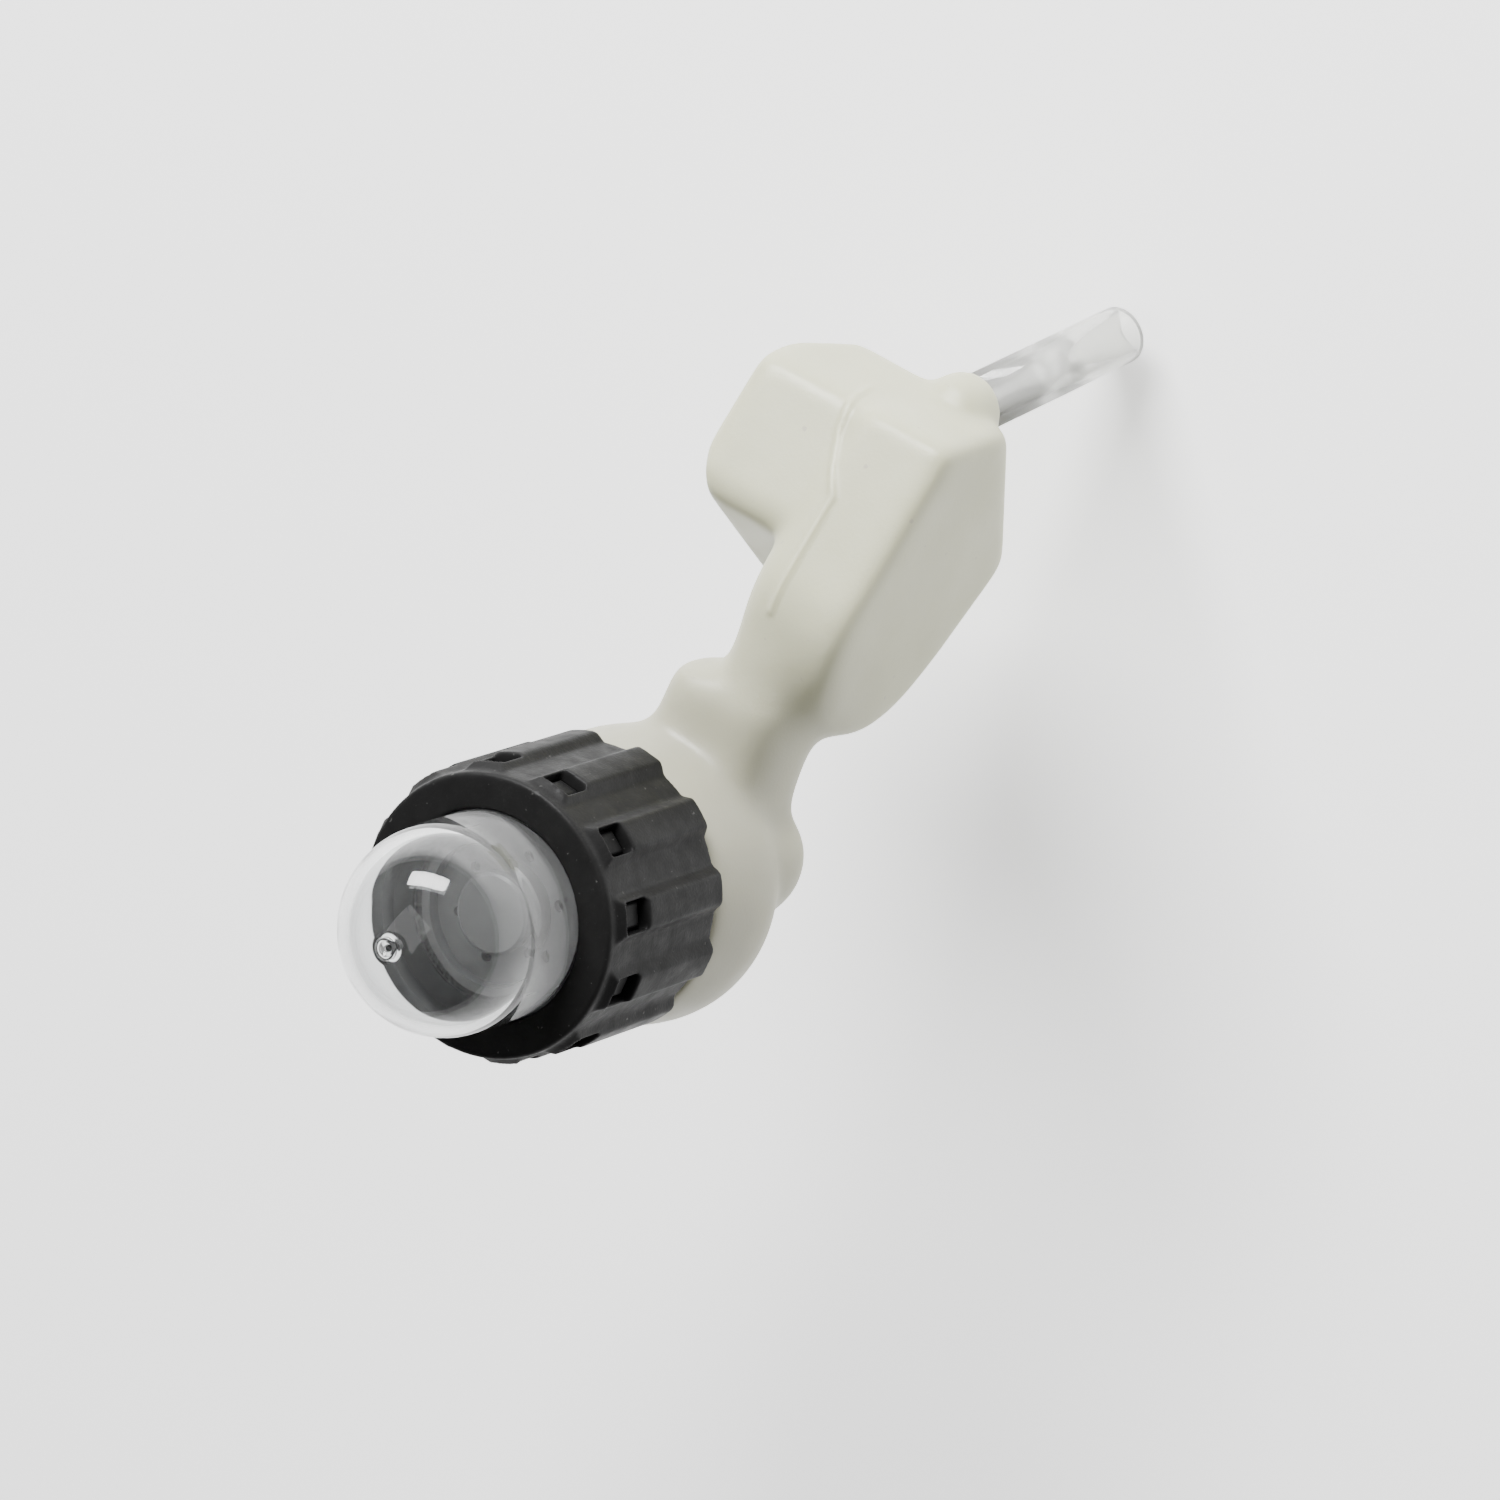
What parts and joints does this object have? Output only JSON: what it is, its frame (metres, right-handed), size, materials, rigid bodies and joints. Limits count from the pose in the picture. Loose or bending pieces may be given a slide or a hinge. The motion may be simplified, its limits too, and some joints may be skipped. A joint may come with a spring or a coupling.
{
  "type": "oil tank with squeeze-bulb cap",
  "caption": "Moulded milky oil tank with a ribbed screw cap that holds a clear squeeze bulb, and a clear outlet tube.",
  "frame": {"origin": "on the cap's axis, in the plane of the shoulder's front face, where the tool's housing takes the tank by its shoulder", "axes": "+Z along the cap's axis and out of the tank, +X the way the tank rises from its neck, Y across the tank's width"},
  "size_m": [0.0797, 0.032, 0.0998],
  "materials": {
    "tank_plastic": "milky translucent moulded polyethylene, satin",
    "cap_black": "black moulded plastic, satin with fine texture",
    "insert_black": "black moulded plastic, smooth",
    "plate_grey": "grey moulded plastic, satin",
    "bulb_clear": "clear soft plastic, glossy",
    "clear_tube": "clear flexible vinyl, slightly hazy",
    "white_plastic": "natural moulded nylon, satin",
    "hose_rubber": "soft black rubber hose",
    "seal_rubber": "black nitrile rubber, satin",
    "screen_mesh": "fine woven steel screen"
  },
  "bodies": {
    "tank": {"tank": "tank_plastic", "outlet_tube": "clear_tube", "outlet_elbow": "white_plastic", "pickup_hose": "hose_rubber", "strainer_cage": "white_plastic", "strainer_screen": "screen_mesh"},
    "gasket": {"neck_gasket": "seal_rubber"},
    "cap": {"cap_shell": "cap_black", "threaded_insert": "insert_black", "valve_plate": "plate_grey", "check_valve": "seal_rubber", "plate_seal": "seal_rubber", "bulb_wall": "bulb_clear"},
    "bulb": {"bulb_crown": "bulb_clear"}
  },
  "joints": [
    {"name": "cap_lift", "type": "slide", "parent": "tank", "child": "gasket", "axis": [0, 0, 1], "range_m": [0, 0.0075]},
    {"name": "cap_turn", "type": "hinge", "parent": "gasket", "child": "cap", "pos_m": [0, 0, 0], "axis": [0, 0, 1], "range_deg": [0, 900]},
    {"name": "bulb_press", "type": "slide", "parent": "cap", "child": "bulb", "axis": [0, 0, -1], "range_m": [0, 0.008], "stiffness_N_per_m": 900, "deforming": ["bulb_wall"]}
  ],
  "couplings": [
    {"joint": "cap_lift", "follows": "cap_turn", "m_per_rad": 0.00047746}
  ]
}
